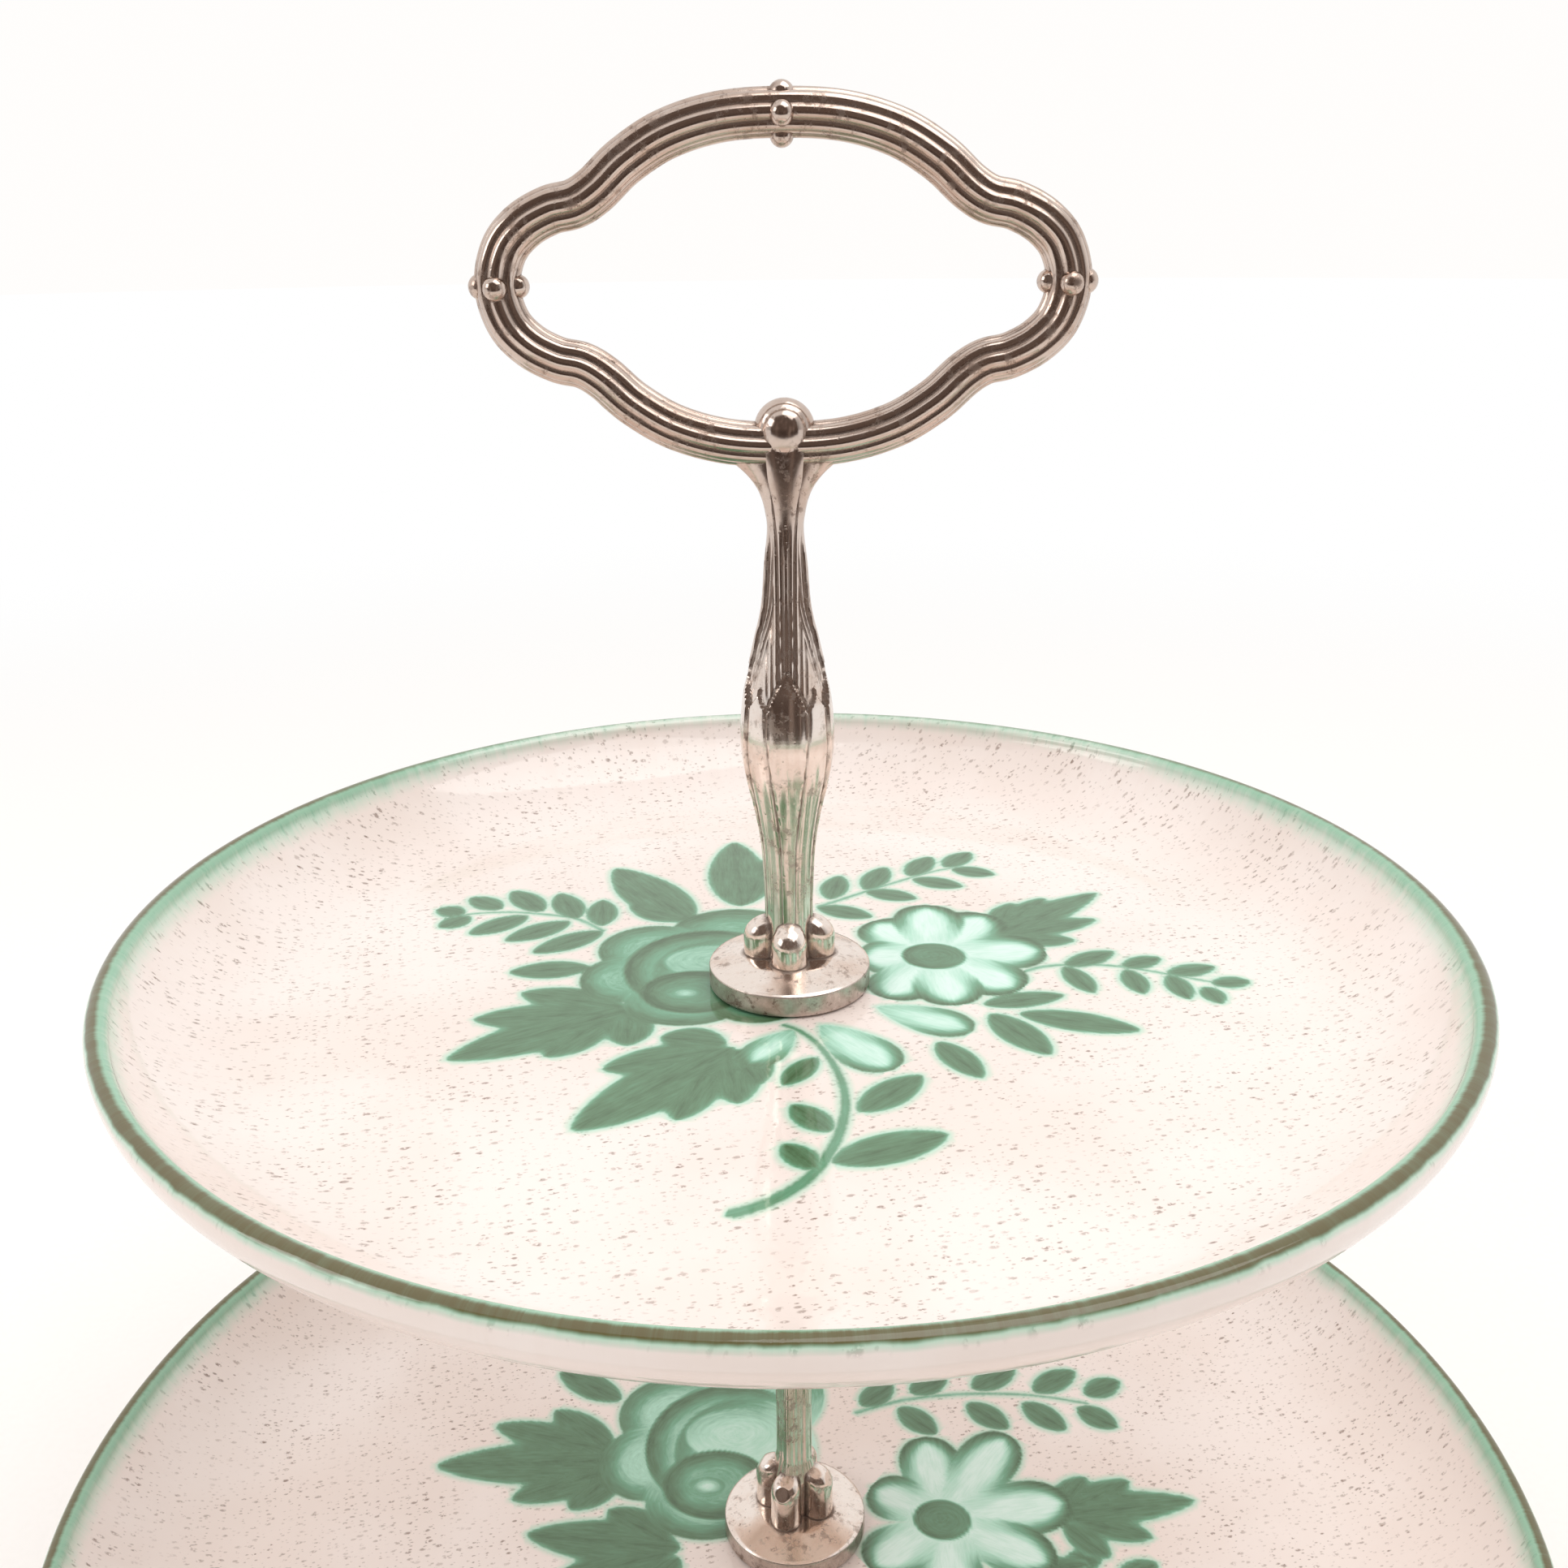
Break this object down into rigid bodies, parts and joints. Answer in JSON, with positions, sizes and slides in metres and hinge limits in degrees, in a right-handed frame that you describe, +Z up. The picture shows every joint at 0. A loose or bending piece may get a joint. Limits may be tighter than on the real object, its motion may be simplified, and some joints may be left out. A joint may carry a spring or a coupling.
{
  "type": "tiered cake stand",
  "caption": "Two-tier cake stand: glazed plates with painted flowers and green rims on a cast column, clamped by a screw-on stem with a shaped ring handle.",
  "frame": {"origin": "on the ground, at the centre of the bottom plate's foot ring", "axes": "+Z up along the column; +X along the ring handle's long side, so -Y is the front"},
  "size_m": [0.25, 0.25, 0.2471],
  "materials": {
    "glaze": "gloss",
    "silver_plate": "polished",
    "zinc_steel": "satin",
    "soft_washer": "matte"
  },
  "bodies": {
    "base": {"bottom_plate": "glaze"},
    "column": {"column": "silver_plate", "column_stud": "zinc_steel", "column_pad": "soft_washer", "support_disc": "silver_plate", "support_pad": "soft_washer", "base_pad": "soft_washer"},
    "top_plate": {"top_plate": "glaze"},
    "handle_washer": {"handle_pad": "soft_washer"},
    "handle": {"handle": "silver_plate"},
    "screw_washer": {"base_washer": "zinc_steel"},
    "base_screw": {"base_screw": "zinc_steel"}
  },
  "joints": [
    {"name": "column_turn", "type": "hinge", "parent": "base", "child": "column", "pos_m": [0, 0, 0.0104], "axis": [0, 0, 1], "continuous": true},
    {"name": "top_plate_turn", "type": "hinge", "parent": "column", "child": "top_plate", "pos_m": [0, 0, 0.1142], "axis": [0, 0, 1], "continuous": true},
    {"name": "handle_rise", "type": "slide", "parent": "column", "child": "handle_washer", "axis": [0, 0, 1], "range_m": [0, 0.008]},
    {"name": "handle_unscrew", "type": "hinge", "parent": "handle_washer", "child": "handle", "pos_m": [0, 0, 0.1187], "axis": [0, 0, 1], "range_deg": [0, 3600]},
    {"name": "screw_drop", "type": "slide", "parent": "column", "child": "screw_washer", "axis": [0, 0, -1], "range_m": [0, 0.0064]},
    {"name": "screw_unscrew", "type": "hinge", "parent": "screw_washer", "child": "base_screw", "pos_m": [0, 0, 0.003], "axis": [0, 0, -1], "range_deg": [0, 2880]}
  ],
  "couplings": [
    {"joint": "handle_unscrew", "follows": "handle_rise", "rad_per_m": 7853.9},
    {"joint": "screw_unscrew", "follows": "screw_drop", "rad_per_m": 7853.9}
  ]
}
